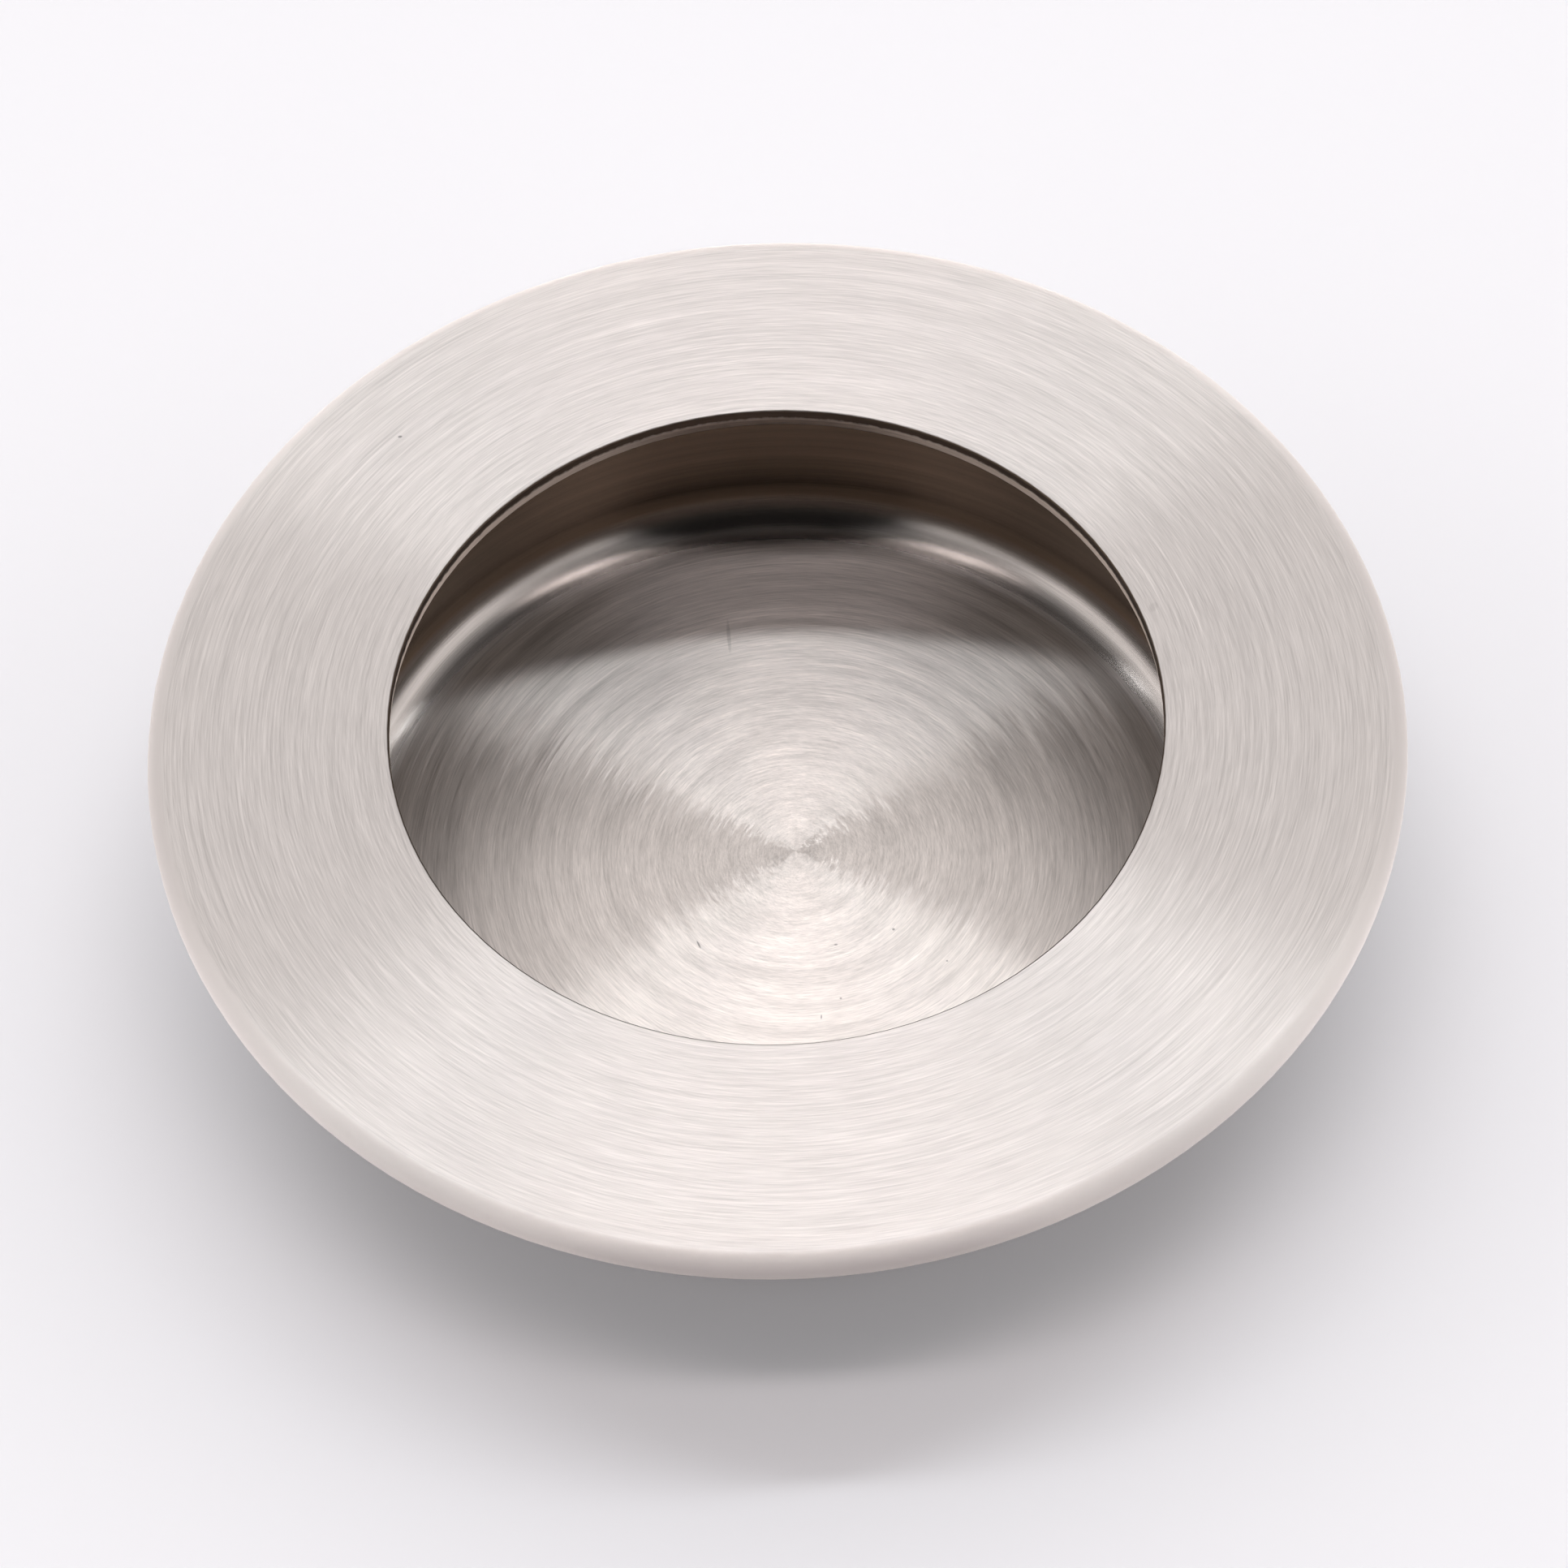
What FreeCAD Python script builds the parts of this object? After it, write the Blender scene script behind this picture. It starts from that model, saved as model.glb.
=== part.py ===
import FreeCAD, Part
import math
import os

# Round recessed pull handle in brushed stainless steel.
# A flat, pierced face plate carries a deep-drawn cup behind it, welded rim to back face.
# The cup is wider than the mouth, so that fingers hook behind the edge of the plate.
# The origin is on the axis, at the underside of the cup, and +Z runs out through the mouth.

# Driving dimensions, in millimetres
BODY_DIAMETER = 51.0
CUP_WALL = 0.7
CUP_CORNER_RADIUS = 2.6
RECESS_DEPTH = 14.8
FINGER_UNDERCUT = 4.8
FLANGE_COVER = 7.0
PLATE_THICKNESS = 1.2
RIM_ROUND = 0.9
EDGE_BREAK = 0.1
BREAKOUT_HEIGHT = 0.5
BREAKOUT_DEPTH = 0.1

# Radii that follow from them
body_radius = BODY_DIAMETER / 2.0
hollow_radius = body_radius - CUP_WALL
mouth_radius = hollow_radius - FINGER_UNDERCUT
face_radius = body_radius + FLANGE_COVER

# Levels along the axis, from the underside of the cup upwards
floor_z = CUP_WALL
face_z = floor_z + RECESS_DEPTH
plate_back_z = face_z - PLATE_THICKNESS
breakout_z = plate_back_z + BREAKOUT_HEIGHT


def section_point(r, z):
    """A point of a half section, at radius r and height z."""
    return FreeCAD.Vector(r, 0.0, z)


def rounded_corner(before, here, after, radius):
    """Start, middle and end of the arc that rounds the corner at here."""
    to_before = (before - here).normalize()
    to_after = (after - here).normalize()
    half_angle = to_before.getAngle(to_after) / 2.0
    tangent_length = radius / math.tan(half_angle)
    centre_distance = radius / math.sin(half_angle)
    inwards = (to_before + to_after).normalize()
    start = here + to_before * tangent_length
    middle = here + inwards * (centre_distance - radius)
    end = here + to_after * tangent_length
    return start, middle, end


def section_edges(corners):
    """The closed outline through corners of (r, z, radius). A radius of 0 is a sharp corner."""
    points = [section_point(r, z) for r, z, radius in corners]
    count = len(points)
    arcs = []
    for i in range(count):
        radius = corners[i][2]
        if radius > 0.0:
            after = points[(i + 1) % count]
            arcs.append(rounded_corner(points[i - 1], points[i], after, radius))
        else:
            arcs.append((points[i], points[i], points[i]))
    edges = []
    for i in range(count):
        start, middle, end = arcs[i]
        if corners[i][2] > 0.0:
            edges.append(Part.Arc(start, middle, end).toShape())
        edges.append(Part.makeLine(end, arcs[(i + 1) % count][0]))
    return edges


def turned(corners):
    """The solid that a half section sweeps in one full turn about the axis."""
    section = Part.Face(Part.Wire(section_edges(corners)))
    axis_point = FreeCAD.Vector(0.0, 0.0, 0.0)
    axis_direction = FreeCAD.Vector(0.0, 0.0, 1.0)
    return section.revolve(axis_point, axis_direction, 360.0)


def face_plate():
    """Flat ring, punched from the front, with its outer top edge rounded over.

    Its back is two faces, parted where the cup's wall meets it: only the outer one, the cover,
    lies on the door.
    """
    rim_round = min(RIM_ROUND, PLATE_THICKNESS - EDGE_BREAK)
    corners = [
        (mouth_radius + EDGE_BREAK, face_z, 0.0),
        (mouth_radius, face_z - EDGE_BREAK, 0.0),
        (mouth_radius, breakout_z, 0.0),
        (mouth_radius + BREAKOUT_DEPTH, plate_back_z, 0.0),
        (body_radius, plate_back_z, 0.0),
        (face_radius, plate_back_z, 0.0),
        (face_radius, face_z, rim_round),
    ]
    return turned(corners)


def cup():
    """Drawn cup with one wall thickness, so that its two corner radii share a centre."""
    outer_corner_radius = CUP_CORNER_RADIUS + CUP_WALL
    corners = [
        (0.0, 0.0, 0.0),
        (body_radius, 0.0, outer_corner_radius),
        (body_radius, plate_back_z, 0.0),
        (hollow_radius, plate_back_z, 0.0),
        (hollow_radius, floor_z, CUP_CORNER_RADIUS),
        (0.0, floor_z, 0.0),
    ]
    return turned(corners)


def write_pieces():
    """One STEP file for each piece."""
    os.makedirs("parts", exist_ok=True)
    pieces = {"face_plate": face_plate(), "cup": cup()}
    for name, shape in pieces.items():
        shape.exportStep("parts/" + name + ".step")
        print(name, "solids", len(shape.Solids), "valid", shape.isValid(), "mm3", round(shape.Volume, 1))


write_pieces()
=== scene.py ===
import math

import bpy
from mathutils import Matrix, Vector


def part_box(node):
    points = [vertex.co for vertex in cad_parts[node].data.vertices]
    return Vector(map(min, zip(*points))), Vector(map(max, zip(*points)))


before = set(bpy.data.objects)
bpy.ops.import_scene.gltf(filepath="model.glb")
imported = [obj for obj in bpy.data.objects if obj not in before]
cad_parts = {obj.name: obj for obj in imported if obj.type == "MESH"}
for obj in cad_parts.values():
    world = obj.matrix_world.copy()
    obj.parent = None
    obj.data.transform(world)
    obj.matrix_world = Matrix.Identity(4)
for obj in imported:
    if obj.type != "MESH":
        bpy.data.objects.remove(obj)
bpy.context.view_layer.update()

# Sizes in metres: outer sizes and levels from the frame, walls and rounds as the part has them
MM = 0.001
plate_low, plate_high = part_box("face_plate")
cup_low, cup_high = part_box("cup")
FACE_Z = plate_high[2]
PLATE_BACK_Z = plate_low[2]
MOUTH_RADIUS = 20.0 * MM
RIM_ROUND = 0.9 * MM
RIM_CENTRE = (plate_high[0] - RIM_ROUND, FACE_Z - RIM_ROUND)
CUP_WALL = 0.7 * MM
CUP_OUTER_ROUND = 3.3 * MM
CORNER_CENTRE = (cup_high[0] - CUP_OUTER_ROUND, cup_low[2] + CUP_OUTER_ROUND)
CORNER_MIDDLE = CUP_OUTER_ROUND - CUP_WALL / 2.0
FLOOR_RADIUS = CORNER_CENTRE[0]
LEAST_REACH = 0.001 * MM

# The camera, as the two rims of the face fix it in the photograph
CAMERA_DISTANCE = 0.24204
CAMERA_ELEVATION = math.radians(54.39)
AIM_X = 0.000266
AIM_Y = -0.004498
CAMERA_ROLL = math.radians(-2.342)
SENSOR_WIDTH = 36.0
CAMERA_LENS = SENSOR_WIDTH * 5783.6 / 1932.0
CLIP_START = 0.01
CLIP_END = 20.0

# Colours of the steel, red, green and blue, with a painted reflection on the mouth's edge and
# painted shade on the cup's inner wall
FACE_STEEL = (0.622, 0.577, 0.559)
# Painted reflection: the burnished band of the mouth's edge is coloured dark for the cup's
# shaded inside that it mirrors
MOUTH_EDGE_PAINTED_REFLECTION = (0.085, 0.06, 0.045)
TORN_EDGE_STEEL = (0.62, 0.52, 0.46)
CUP_STEEL = (0.73, 0.667, 0.635)
# The inner wall's dark colour is painted shade in the cup
CUP_WALL_PAINTED_SHADE = (0.20, 0.148, 0.112)
CUP_OUTSIDE_STEEL = (0.50, 0.46, 0.44)

# Middles of the rings that the brush left, one for each pass
FACE_RING_CENTRES = ((0.0, 0.0), (1.6 * MM, -1.1 * MM), (-1.3 * MM, 1.8 * MM))
CUP_RING_CENTRES = ((0.75 * MM, 1.3 * MM), (1.9 * MM, 0.2 * MM), (-0.5 * MM, 2.2 * MM))

# Passes of the brush: pitch in metres, arc in radians, roughness, shift of the noise and share
BRUSH_PASSES = (
    (0.11 * MM, 0.45, 0.7, 0.0, 0.40),
    (0.07 * MM, 0.12, 0.7, 7.0, 0.35),
    (0.10 * MM, 0.08, 0.7, 13.0, 0.25),
)

# Broad bands among the lines, and how far the lines cross the true ring
BROAD_PITCH = 0.8 * MM
BROAD_ARC = 0.6
BROAD_SHIFT = 21.0
CROSS_PITCH = 0.15 * MM
CROSS_ARC = 0.25
CROSS_SHIFT = 29.0
CROSS_REACH = 4.0 * MM
CROSS_LEAST_RADIUS = 1.0 * MM

# The part of each noise's range that its tones are stretched over
FINE_SPREAD = (0.36, 0.64)
WALL_FINE_SPREAD = (0.38, 0.62)
BROAD_SPREAD = (0.3, 0.7)

# Tones and roughness of the plate, from a dark line to a bright one; the rim's tone is a painted
# highlight and the back's tone is painted shade
FACE_FINE_TONES = (0.82, 1.16)
FACE_BROAD_TONES = (0.96, 1.04)
FACE_ROUGHNESS = (0.29, 0.35)
RIM_PAINTED_HIGHLIGHT_TONE = 1.35
RIM_ROUGHNESS = 0.50
RIM_BUMP_LOSS = 0.8
BACK_PAINTED_SHADE_TONE = 0.25
BURNISHED_ROUGHNESS = 0.30
TORN_ROUGHNESS = 0.60
FACE_BUMP = 0.010 * MM

# Soft edges of the plate's looks, with two ends each: radii, then depths, then levels
OUT_OF_MOUTH = (MOUTH_RADIUS + 0.11 * MM, MOUTH_RADIUS + 0.13 * MM)
RIM_LOOK = (31.5 * MM, 31.9 * MM)
RIM_SHAPE = (RIM_CENTRE[0] - 0.12 * MM, RIM_CENTRE[0] - 0.06 * MM)
BELOW_FACE = (0.02 * MM, 0.05 * MM)
TORN_DEPTH = (0.46 * MM, 0.62 * MM)
# Levels over which the painted shade on the plate's back fades out
BACK_PAINTED_SHADE_EDGE = (PLATE_BACK_Z + 0.01 * MM, PLATE_BACK_Z + 0.03 * MM)
RIM_SHAPE_FOOT = (PLATE_BACK_Z + 0.02 * MM, PLATE_BACK_Z + 0.04 * MM)

# How ragged the upper edge of the torn band is
RAGGED_PITCH = 0.5 * MM
RAGGED_ARC = 0.02
RAGGED_REACH = 0.25 * MM

# Tones and roughness of the cup, with painted shade that darkens its corner
CUP_FINE_TONES = (0.78, 1.16)
CUP_BROAD_TONES = (0.86, 1.10)
CUP_ROUGHNESS = (0.285, 0.32)
WALL_FINE_TONES = (0.95, 1.04)
WALL_BAND_TONES = (0.78, 1.12)
WALL_BAND_PITCH = 0.7 * MM
WALL_ROUGHNESS = 0.18
CORNER_PAINTED_SHADE_TONE = 0.84
CUP_BUMP = 0.008 * MM

# Soft edges of the cup's looks, in the same way: radii, then levels
WALL_LOOK = (FLOOR_RADIUS + 0.3 * MM, FLOOR_RADIUS + 0.9 * MM)
# Radii over which the painted shade darkens the floor into the corner
CORNER_PAINTED_SHADE_RADII = (FLOOR_RADIUS - 0.2 * MM, FLOOR_RADIUS + 1.4 * MM)
CUP_OUTSIDE = (25.0 * MM, 25.2 * MM)
CORNER_SHAPE = (FLOOR_RADIUS - 0.01 * MM, FLOOR_RADIUS + 0.01 * MM)
# Heights over which the painted shade of the inner wall sets in
WALL_PAINTED_SHADE_RISE = (1.5 * MM, 2.5 * MM)
CUP_RIM = (PLATE_BACK_Z - 0.06 * MM, PLATE_BACK_Z - 0.04 * MM)

# Marks of use: x, y, half length and half width in millimetres, turn in degrees, darkness
FACE_MARKS = (
    (19.95, 5.75, 0.38, 0.26, 60.0, 0.10),
    (-19.60, 19.33, 0.14, 0.09, 10.0, 0.60),
)
CUP_MARKS = (
    (-2.45, 16.00, 1.30, 0.13, 92.0, 0.22),
    (-4.65, -4.47, 0.30, 0.06, -68.0, 0.60),
    (5.82, -4.02, 0.09, 0.09, 0.0, 0.60),
    (2.69, -4.84, 0.12, 0.07, 0.0, 0.50),
    (2.81, -8.24, 0.08, 0.08, 0.0, 0.50),
    (1.73, -9.35, 0.16, 0.05, 85.0, 0.55),
    (8.58, -6.17, 0.07, 0.07, 0.0, 0.50),
    (0.75, 1.30, 1.60, 1.60, 0.0, 0.10),
)
MARK_EDGE = (0.5, 1.1)

# Bright scratches: radius and width in millimetres, start and end in degrees, brightness
FACE_SCRATCHES = (
    (21.25, 0.07, 17.0, 30.0, 0.16),
    (21.95, 0.06, 14.0, 25.0, 0.14),
    (22.70, 0.07, 10.0, 27.0, 0.10),
    (20.65, 0.05, 29.0, 39.0, 0.12),
    (24.80, 0.06, 139.0, 149.0, 0.10),
    (27.30, 0.07, 99.0, 112.0, 0.09),
    (29.60, 0.06, 58.0, 66.0, 0.10),
    (23.40, 0.06, -62.0, -52.0, 0.10),
    (30.20, 0.07, -155.0, -147.0, 0.10),
    (25.90, 0.05, -20.0, -9.0, 0.12),
)
SCRATCH_EDGE = 0.04
SCRATCH_FADE = 3.0

# The table: its glow is for the eye alone
TABLE_COLOUR = (0.86, 0.852, 0.886)
TABLE_ROUGHNESS = 0.7
TABLE_SPECULAR = 0.1
TABLE_GLOW_COLOUR = (1.0, 0.985, 1.0)
TABLE_GLOW = 0.075
TABLE_HALF_SIDE = 1.5

# The room, by the direction that light comes from: x to the right, y away from the camera, z up
ROOM_HIGH = (math.sin(math.radians(36.0)), math.sin(math.radians(44.0)))
ROOM_BACK = (0.05, 0.35)
ROOM_NOT_FRONT = (-0.35, 0.15)
ROOM_LOW_LIGHT = 0.88
ROOM_FRONT_LIGHT = 0.65
ROOM_HIGH_LIGHT = 0.28
CAMERA_SIDE_AZIMUTH = (math.radians(26.0), math.radians(40.0))
CAMERA_SIDE_TOP = (math.cos(math.radians(19.0)), math.cos(math.radians(12.0)))
CAMERA_SIDE_LOSS = 0.97
HORIZON = (0.0, 0.02)
BELOW_LIGHT = 0.5
ROOM_COLOUR = (1.0, 0.985, 0.975)
BACKDROP_COLOUR = (0.94, 0.94, 0.95)

# Soft lights: a soft edge has two ends, and a band has from, to and softness
SIDES_X = (0.5, 0.7)
SIDES_Y = (-0.40, 0.30, 0.20)
SIDES_Z = (0.30, 0.74, 0.12)
SIDES_LIGHT = 0.48
PANEL_X = (-0.45, 0.45, 0.30)
PANEL_Y = (0.46, 0.74, 0.16)
PANEL_LIGHT = 0.22
STRIP_LEFT = (-0.62, -0.30)
STRIP_RIGHT = (0.36, 0.60)
STRIP_Y = (0.222, 0.290, 0.012)
STRIP_SLOPE = -0.03
STRIP_LIGHT = 10.5
STRIP_COLOUR = (1.0, 1.04, 1.06)
ZENITH_X = (0.10, 0.60)
ZENITH_Y = (-0.186, -0.096, 0.02)
ZENITH_LIGHT = 10.5
ZENITH_COLOUR = (1.0, 0.92, 0.90)

# Sockets of the Mix node for numbers and for colours: first, second and result
MIX_NUMBERS = (2, 3, 0)
MIX_COLOURS = (6, 7, 2)

# The shader is rough along its tangent, so that is turned a quarter to lie across the lines
QUARTER_TURN = 0.25


def opaque(colour):
    return tuple(colour) + (1.0,)


class Nodes:
    """A node tree, with short calls that return the new node's output."""

    def __init__(self, tree):
        self.tree = tree
        tree.nodes.clear()

    def feed(self, socket, value):
        if isinstance(value, bpy.types.NodeSocket):
            self.tree.links.new(value, socket)
        else:
            socket.default_value = value

    def node(self, kind, **settings):
        node = self.tree.nodes.new(kind)
        for key, value in settings.items():
            setattr(node, key, value)
        return node

    def math(self, operation, first, second=0.0):
        node = self.node("ShaderNodeMath", operation=operation)
        self.feed(node.inputs[0], first)
        self.feed(node.inputs[1], second)
        return node.outputs[0]

    def add(self, *values):
        total = values[0]
        for value in values[1:]:
            total = self.math("ADD", total, value)
        return total

    def times(self, *values):
        product = values[0]
        for value in values[1:]:
            product = self.math("MULTIPLY", product, value)
        return product

    def minus(self, first, second):
        return self.math("SUBTRACT", first, second)

    def rest(self, value):
        """What is left of 1 when value is taken from it."""
        return self.minus(1.0, value)

    def vector(self, operation, first, second=(0.0, 0.0, 0.0)):
        node = self.node("ShaderNodeVectorMath", operation=operation)
        self.feed(node.inputs[0], first)
        self.feed(node.inputs[1], second)
        return node.outputs["Value" if operation == "LENGTH" else "Vector"]

    def scaled(self, vector, factor):
        node = self.node("ShaderNodeVectorMath", operation="SCALE")
        self.feed(node.inputs[0], vector)
        self.feed(node.inputs["Scale"], factor)
        return node.outputs[0]

    def combine(self, x, y, z):
        node = self.node("ShaderNodeCombineXYZ")
        for socket, value in zip(node.inputs, (x, y, z)):
            self.feed(socket, value)
        return node.outputs[0]

    def separate(self, vector):
        node = self.node("ShaderNodeSeparateXYZ")
        self.feed(node.inputs[0], vector)
        return node.outputs

    def to_world(self, vector, kind):
        """A direction in the piece's axes turned into world axes. Kind is VECTOR or NORMAL."""
        node = self.node("ShaderNodeVectorTransform", vector_type=kind,
                         convert_from="OBJECT", convert_to="WORLD")
        self.feed(node.inputs[0], vector)
        return node.outputs[0]

    def noise(self, vector, scale, detail=2.0, roughness=0.5):
        node = self.node("ShaderNodeTexNoise", noise_dimensions="3D")
        self.feed(node.inputs["Vector"], vector)
        self.feed(node.inputs["Scale"], scale)
        self.feed(node.inputs["Detail"], detail)
        self.feed(node.inputs["Roughness"], roughness)
        return node.outputs["Fac"]

    def ramp(self, value, low, high, to_low=0.0, to_high=1.0, smooth=False):
        """Value from low to high turned into to_low to to_high, and held there outside."""
        node = self.node("ShaderNodeMapRange", clamp=True)
        node.interpolation_type = "SMOOTHSTEP" if smooth else "LINEAR"
        for socket, number in zip(node.inputs, (value, low, high, to_low, to_high)):
            self.feed(socket, number)
        return node.outputs[0]

    def between(self, value, low, high, soft):
        """1 where value lies between low and high, with edges soft wide."""
        rise = self.ramp(value, low - soft / 2.0, low + soft / 2.0, smooth=True)
        fall = self.ramp(value, high - soft / 2.0, high + soft / 2.0, smooth=True)
        return self.times(rise, self.rest(fall))

    def mix(self, data_type, sockets, factor, first, second):
        node = self.node("ShaderNodeMix", data_type=data_type)
        self.feed(node.inputs["Factor"], factor)
        self.feed(node.inputs[sockets[0]], first)
        self.feed(node.inputs[sockets[1]], second)
        return node.outputs[sockets[2]]

    def blend(self, factor, first, second):
        return self.mix("FLOAT", MIX_NUMBERS, factor, first, second)

    def blend_colour(self, factor, first, second):
        return self.mix("RGBA", MIX_COLOURS, factor, first, second)


def new_material(name):
    material = bpy.data.materials.new(name)
    material.use_nodes = True
    return material, Nodes(material.node_tree)


def finish_material(s, surface):
    output = s.node("ShaderNodeOutputMaterial")
    s.feed(output.inputs["Surface"], surface)


def new_camera():
    """The photograph's view, aimed at a point of the face."""
    data = bpy.data.cameras.new("camera")
    data.sensor_width = SENSOR_WIDTH
    data.lens = CAMERA_LENS
    data.clip_start = CLIP_START
    data.clip_end = CLIP_END
    camera = bpy.data.objects.new("camera", data)
    bpy.context.scene.collection.objects.link(camera)
    level = CAMERA_DISTANCE * math.cos(CAMERA_ELEVATION)
    height = CAMERA_DISTANCE * math.sin(CAMERA_ELEVATION)
    place = Vector((0.0, -level, FACE_Z + height))
    aim = Vector((AIM_X, AIM_Y, FACE_Z))
    look = (aim - place).to_track_quat("-Z", "Y").to_matrix().to_4x4()
    roll = Matrix.Rotation(CAMERA_ROLL, 4, "Z")
    camera.matrix_world = Matrix.Translation(place) @ look @ roll
    bpy.context.scene.camera = camera


class Rings:
    """Where a point of a turned part lies among the brush rings round one centre."""

    def __init__(self, s, centre):
        place = s.node("ShaderNodeTexCoord").outputs["Object"]
        self.s = s
        self.x, self.y, self.z = s.separate(place)
        self.from_axis = s.vector("LENGTH", s.combine(self.x, self.y, 0.0))
        from_centre = s.vector("SUBTRACT", place, (centre[0], centre[1], 0.0))
        x, y, _ = s.separate(from_centre)
        level = s.combine(x, y, 0.0)
        self.radius = s.vector("LENGTH", level)
        self.out_x, self.out_y, _ = s.separate(s.vector("NORMALIZE", level))
        self.across = s.add(self.radius, self.z)

    def lines(self, pitch, arc, detail=2.0, roughness=0.5, shift=0.0):
        """Noise drawn out along the rings: pitch across them in metres, arc along in radians.

        The shift takes it from another place of the noise, so that no two are alike.
        """
        s = self.s
        vector = s.combine(s.add(s.times(self.out_x, 1.0 / arc), shift),
                           s.times(self.out_y, 1.0 / arc),
                           s.times(self.across, 1.0 / pitch))
        return s.noise(vector, 1.0, detail, roughness)

    def tangent(self):
        """The direction along the rings, in world axes, a little crossed as brush lines are."""
        s = self.s
        noise = self.lines(CROSS_PITCH, CROSS_ARC, detail=1.0, shift=CROSS_SHIFT)
        wander = s.minus(noise, 0.5)
        cross = s.math("DIVIDE", s.times(wander, CROSS_REACH),
                       s.add(self.radius, CROSS_LEAST_RADIUS))
        along = s.combine(s.add(s.times(self.out_y, -1.0), s.times(self.out_x, cross)),
                          s.add(self.out_x, s.times(self.out_y, cross)), 0.0)
        return s.to_world(along, "VECTOR")


def round_normal(s, rings, centre, rise, side):
    """Where a round of the turned part truly faces, in world axes: the mesh has flat facets.

    The round's centre is given as its radius and height. Rise is the height over it, held at 0
    past the round's end, and side is 1 on a round that faces away from its centre or -1.
    """
    out = s.scaled(s.combine(rings.x, rings.y, 0.0), s.math("DIVIDE", 1.0, rings.from_axis))
    reach = s.math("MAXIMUM", s.minus(rings.from_axis, centre[0]), LEAST_REACH)
    from_centre = s.vector("ADD", s.scaled(out, reach), s.combine(0.0, 0.0, rise))
    return s.to_world(s.scaled(s.vector("NORMALIZE", from_centre), side), "NORMAL")


def mesh_or_round(s, on_round, normal):
    """The mesh's own normal, or the round's where on_round is 1."""
    mesh = s.node("ShaderNodeNewGeometry").outputs["Normal"]
    both = s.vector("ADD", s.scaled(mesh, s.rest(on_round)), s.scaled(normal, on_round))
    return s.vector("NORMALIZE", both)


def marks(s, rings, places):
    """How dark the small marks make the steel: 0 where there is none."""
    total = 0.0
    for x, y, half_length, half_width, turn, darkness in places:
        angle = math.radians(turn)
        dx = s.minus(rings.x, x * MM)
        dy = s.minus(rings.y, y * MM)
        along = s.add(s.times(dx, math.cos(angle)), s.times(dy, math.sin(angle)))
        aside = s.add(s.times(dx, -math.sin(angle)), s.times(dy, math.cos(angle)))
        far = s.vector("LENGTH", s.combine(s.times(along, 1.0 / (half_length * MM)),
                                           s.times(aside, 1.0 / (half_width * MM)), 0.0))
        total = s.add(s.ramp(far, *MARK_EDGE, darkness, 0.0, smooth=True), total)
    return total


def scratches(s, rings, places):
    """How bright the scratches along the rings make the steel: 0 where there is none."""
    angle = s.times(s.math("ARCTAN2", rings.out_y, rings.out_x), 180.0 / math.pi)
    total = 0.0
    for radius, width, start, end, brightness in places:
        line = s.between(rings.radius, (radius - width / 2.0) * MM, (radius + width / 2.0) * MM,
                         SCRATCH_EDGE * MM)
        length = s.between(angle, start, end, SCRATCH_FADE)
        total = s.add(s.times(line, length, brightness), total)
    return total


def brushed(s, centres):
    """The rings of the first pass, the fine lines of all three as noise, and broad bands."""
    passes = [Rings(s, centre) for centre in centres]
    lines = []
    for rings, (pitch, arc, roughness, shift, share) in zip(passes, BRUSH_PASSES):
        lines.append(s.times(rings.lines(pitch, arc, roughness=roughness, shift=shift), share))
    fine = s.add(*lines)
    broad = passes[0].lines(BROAD_PITCH, BROAD_ARC, detail=3.0, roughness=0.6, shift=BROAD_SHIFT)
    return passes[0], fine, broad


def steel_shader(s, rings, colour, roughness, height, bump_distance, normal):
    """Ring-brushed steel: rough across the lines and smooth along them."""
    bump = s.node("ShaderNodeBump")
    s.feed(bump.inputs["Strength"], 1.0)
    s.feed(bump.inputs["Distance"], bump_distance)
    s.feed(bump.inputs["Height"], height)
    s.feed(bump.inputs["Normal"], normal)
    steel = s.node("ShaderNodeBsdfPrincipled")
    s.feed(steel.inputs["Base Color"], colour)
    s.feed(steel.inputs["Metallic"], 1.0)
    s.feed(steel.inputs["Roughness"], roughness)
    s.feed(steel.inputs["Anisotropic"], 1.0)
    s.feed(steel.inputs["Anisotropic Rotation"], QUARTER_TURN)
    s.feed(steel.inputs["Tangent"], rings.tangent())
    s.feed(steel.inputs["Normal"], bump.outputs[0])
    return steel.outputs[0]


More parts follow.
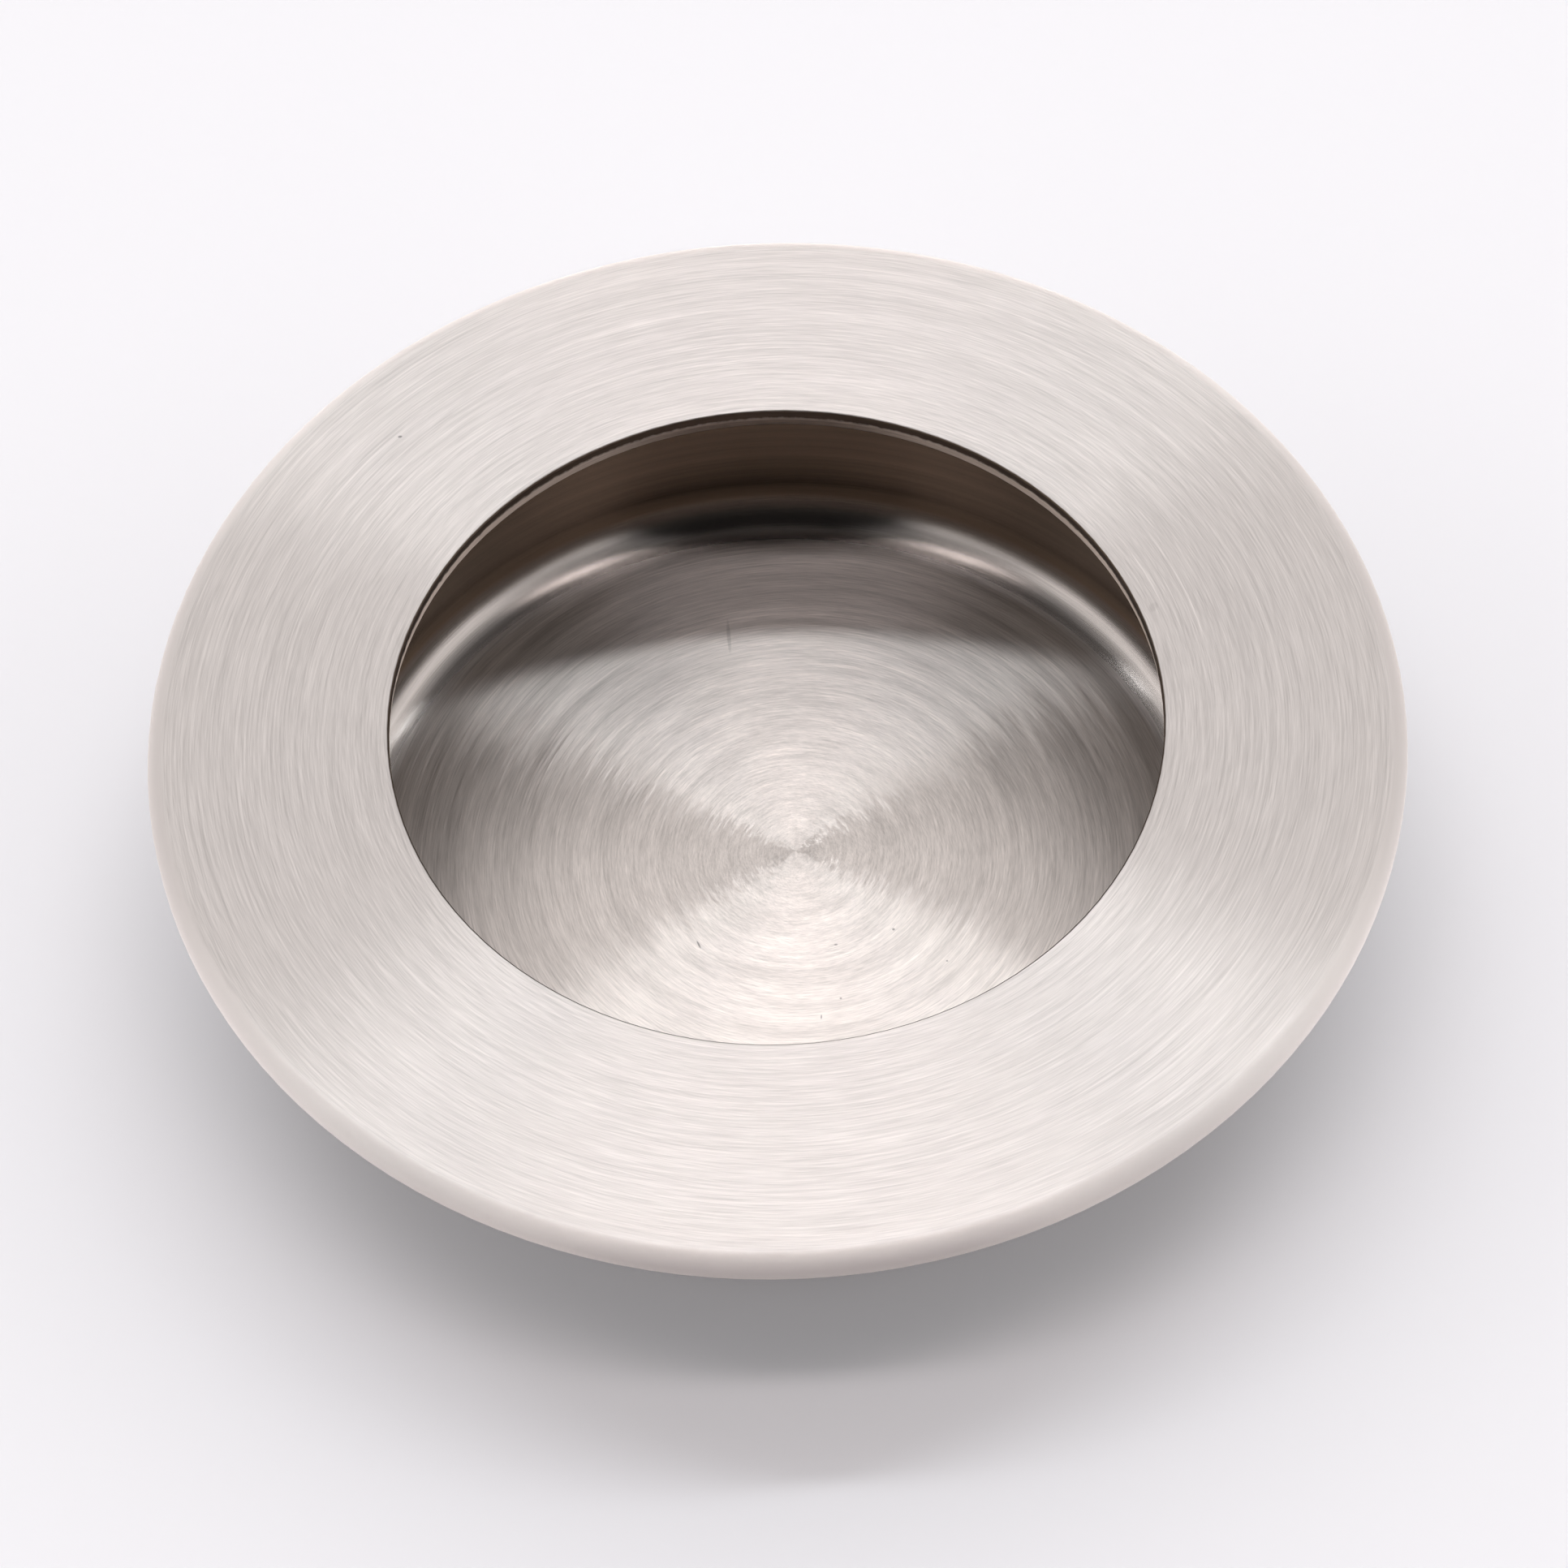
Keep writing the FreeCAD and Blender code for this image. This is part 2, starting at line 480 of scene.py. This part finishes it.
def face_steel():
    """The plate: brushed on its face, with a burnished and a torn band on its mouth's edge. The
    burnished band's dark colour is a painted reflection of the cup's shaded inside, the rim's
    lighter tone a painted highlight and the darker back painted shade.
    """
    material, s = new_material("face_steel")
    rings, fine, broad = brushed(s, FACE_RING_CENTRES)
    depth = s.minus(FACE_Z, rings.z)
    in_mouth = s.times(s.rest(s.ramp(rings.from_axis, *OUT_OF_MOUTH)),
                       s.ramp(depth, *BELOW_FACE))
    ragged = s.minus(rings.lines(RAGGED_PITCH, RAGGED_ARC), 0.5)
    torn = s.ramp(s.add(depth, s.times(ragged, RAGGED_REACH)), *TORN_DEPTH)
    on_rim = s.ramp(rings.from_axis, *RIM_LOOK, smooth=True)

    tone = s.times(s.ramp(fine, *FINE_SPREAD, *FACE_FINE_TONES),
                   s.ramp(broad, *BROAD_SPREAD, *FACE_BROAD_TONES))
    tone = s.times(tone, s.rest(marks(s, rings, FACE_MARKS)),
                   s.add(1.0, scratches(s, rings, FACE_SCRATCHES)))
    # Painted highlight: the rim's tone is raised above the steel's own
    tone = s.blend(on_rim, tone, RIM_PAINTED_HIGHLIGHT_TONE)
    # Painted shade: the back of the plate, under it, is darkened
    tone = s.times(tone, s.ramp(rings.z, *BACK_PAINTED_SHADE_EDGE, BACK_PAINTED_SHADE_TONE, 1.0))
    # Painted reflection: the burnished band takes a dark colour in place of the cup's shaded
    # inside that it mirrors
    edge = s.blend_colour(torn, opaque(MOUTH_EDGE_PAINTED_REFLECTION), opaque(TORN_EDGE_STEEL))
    steel = s.blend_colour(in_mouth, opaque(FACE_STEEL), edge)

    roughness = s.blend(on_rim, s.ramp(broad, *BROAD_SPREAD, *FACE_ROUGHNESS), RIM_ROUGHNESS)
    edge_roughness = s.blend(torn, BURNISHED_ROUGHNESS, TORN_ROUGHNESS)
    roughness = s.blend(in_mouth, roughness, edge_roughness)
    height = s.times(fine, s.rest(s.times(on_rim, RIM_BUMP_LOSS)))

    rise = s.math("MAXIMUM", s.minus(rings.z, RIM_CENTRE[1]), 0.0)
    on_round = s.times(s.ramp(rings.from_axis, *RIM_SHAPE), s.ramp(rings.z, *RIM_SHAPE_FOOT))
    normal = mesh_or_round(s, on_round, round_normal(s, rings, RIM_CENTRE, rise, 1.0))
    colour = s.scaled(steel, tone)
    shader = steel_shader(s, rings, colour, roughness, height, FACE_BUMP, normal)
    finish_material(s, shader)
    return material


def cup_steel():
    """The cup: brushed in rings on its floor, and drawn smoother up the corner and the wall. Its
    corner is darkened and its inner wall coloured dark as painted shade.
    """
    material, s = new_material("cup_steel")
    rings, fine, broad = brushed(s, CUP_RING_CENTRES)
    on_wall = s.ramp(rings.from_axis, *WALL_LOOK, smooth=True)
    upright = s.ramp(rings.z, *WALL_PAINTED_SHADE_RISE, smooth=True)
    outside = s.ramp(rings.from_axis, *CUP_OUTSIDE)
    up_wall = s.combine(0.0, 0.0, s.times(rings.z, 1.0 / WALL_BAND_PITCH))
    bands = s.noise(up_wall, 1.0, detail=3.0, roughness=0.6)

    floor_tone = s.times(s.ramp(fine, *FINE_SPREAD, *CUP_FINE_TONES),
                         s.ramp(broad, *BROAD_SPREAD, *CUP_BROAD_TONES))
    wall_tone = s.times(s.ramp(fine, *WALL_FINE_SPREAD, *WALL_FINE_TONES),
                        s.ramp(bands, *BROAD_SPREAD, *WALL_BAND_TONES))
    # Painted shade: the floor grows darker towards the corner
    corner_painted_shade = s.ramp(rings.from_axis, *CORNER_PAINTED_SHADE_RADII, 1.0, CORNER_PAINTED_SHADE_TONE)
    tone = s.times(s.blend(on_wall, floor_tone, wall_tone), corner_painted_shade,
                   s.rest(marks(s, rings, CUP_MARKS)))
    # Painted shade: the inside of the wall takes a dark colour, the outside keeps its steel
    wall = s.blend_colour(outside, opaque(CUP_WALL_PAINTED_SHADE), opaque(CUP_OUTSIDE_STEEL))
    steel = s.blend_colour(upright, opaque(CUP_STEEL), wall)
    roughness = s.blend(on_wall, s.ramp(broad, *BROAD_SPREAD, *CUP_ROUGHNESS), WALL_ROUGHNESS)

    rise = s.math("MINIMUM", s.minus(rings.z, CORNER_CENTRE[1]), 0.0)
    reach = s.minus(rings.from_axis, CORNER_CENTRE[0])
    far = s.vector("LENGTH", s.combine(reach, rise, 0.0))
    side = s.rest(s.times(s.math("LESS_THAN", far, CORNER_MIDDLE), 2.0))
    on_round = s.times(s.ramp(rings.from_axis, *CORNER_SHAPE),
                       s.rest(s.ramp(rings.z, *CUP_RIM)))
    normal = mesh_or_round(s, on_round, round_normal(s, rings, CORNER_CENTRE, rise, side))
    colour = s.scaled(steel, tone)
    shader = steel_shader(s, rings, colour, roughness, fine, CUP_BUMP, normal)
    finish_material(s, shader)
    return material


def dress(node, material):
    """Gives a CAD node's mesh its material."""
    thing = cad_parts[node]
    for slot in thing.material_slots:
        slot.material = material


def table_top():
    """The pale surface that the handle lies on, dimmer where the handle shades it."""
    material, s = new_material("table")
    surface = s.node("ShaderNodeBsdfPrincipled")
    s.feed(surface.inputs["Base Color"], opaque(TABLE_COLOUR))
    s.feed(surface.inputs["Roughness"], TABLE_ROUGHNESS)
    s.feed(surface.inputs["Specular IOR Level"], TABLE_SPECULAR)
    path = s.node("ShaderNodeLightPath").outputs
    seen = s.math("MAXIMUM", path["Is Camera Ray"],
                  s.math("MAXIMUM", path["Is Glossy Ray"], path["Is Transmission Ray"]))
    glow = s.node("ShaderNodeEmission")
    s.feed(glow.inputs["Color"], opaque(TABLE_GLOW_COLOUR))
    s.feed(glow.inputs["Strength"], s.times(seen, TABLE_GLOW))
    both = s.node("ShaderNodeAddShader")
    s.feed(both.inputs[0], surface.outputs[0])
    s.feed(both.inputs[1], glow.outputs[0])
    finish_material(s, both.outputs[0])
    mesh = bpy.data.meshes.new("table")
    half = TABLE_HALF_SIDE
    corners = [(-half, -half, 0.0), (half, -half, 0.0), (half, half, 0.0), (-half, half, 0.0)]
    mesh.from_pydata(corners, [], [(0, 1, 2, 3)])
    mesh.materials.append(material)
    table = bpy.data.objects.new("table", mesh)
    bpy.context.scene.collection.objects.link(table)


def studio():
    """Soft light all round and a dark camera side, with two soft strips near the zenith."""
    world = bpy.data.worlds.new("studio")
    bpy.context.scene.world = world
    world.use_nodes = True
    s = Nodes(world.node_tree)
    direction = s.vector("NORMALIZE", s.node("ShaderNodeTexCoord").outputs["Generated"])
    x, y, z = s.separate(direction)
    aside = s.math("ABSOLUTE", x)

    high = s.ramp(z, *ROOM_HIGH, smooth=True)
    back = s.ramp(y, *ROOM_BACK, smooth=True)
    front = s.rest(s.ramp(y, *ROOM_NOT_FRONT, smooth=True))
    low = s.blend(front, ROOM_LOW_LIGHT, ROOM_FRONT_LIGHT)
    room = s.blend(s.times(high, s.rest(back)), low, ROOM_HIGH_LIGHT)
    azimuth = s.math("ARCTAN2", aside, s.times(y, -1.0))
    camera_side = s.times(s.rest(s.ramp(azimuth, *CAMERA_SIDE_AZIMUTH, smooth=True)),
                          s.rest(s.ramp(z, *CAMERA_SIDE_TOP, smooth=True)))
    room = s.times(room, s.rest(s.times(camera_side, CAMERA_SIDE_LOSS)))

    panel = s.times(s.between(x, *PANEL_X), s.between(y, *PANEL_Y))
    sides = s.times(s.ramp(aside, *SIDES_X, smooth=True), s.between(y, *SIDES_Y),
                    s.between(z, *SIDES_Z))
    strip = s.times(s.ramp(x, *STRIP_LEFT, smooth=True),
                    s.rest(s.ramp(x, *STRIP_RIGHT, smooth=True)),
                    s.between(s.add(y, s.times(x, STRIP_SLOPE)), *STRIP_Y))
    zenith = s.times(s.rest(s.ramp(aside, *ZENITH_X, smooth=True)), s.between(y, *ZENITH_Y))
    soft = s.add(room, s.times(panel, PANEL_LIGHT), s.times(sides, SIDES_LIGHT))
    parts = (
        (soft, ROOM_COLOUR),
        (s.times(strip, STRIP_LIGHT), STRIP_COLOUR),
        (s.times(zenith, ZENITH_LIGHT), ZENITH_COLOUR),
    )

    above = s.ramp(z, *HORIZON)
    below = s.times(s.rest(above), BELOW_LIGHT)
    channels = []
    for channel in range(3):
        light = s.add(*[s.times(level, colour[channel]) for level, colour in parts])
        channels.append(s.add(s.times(light, above), below))
    seen = s.node("ShaderNodeLightPath").outputs["Is Camera Ray"]
    colour = s.blend_colour(seen, s.combine(*channels), opaque(BACKDROP_COLOUR))
    background = s.node("ShaderNodeBackground")
    s.feed(background.inputs["Color"], colour)
    s.feed(background.inputs["Strength"], 1.0)
    output = s.node("ShaderNodeOutputWorld")
    s.feed(output.inputs["Surface"], background.outputs[0])


bpy.context.scene.view_settings.view_transform = "Standard"
new_camera()
table_top()
studio()
dress("face_plate", face_steel())
dress("cup", cup_steel())
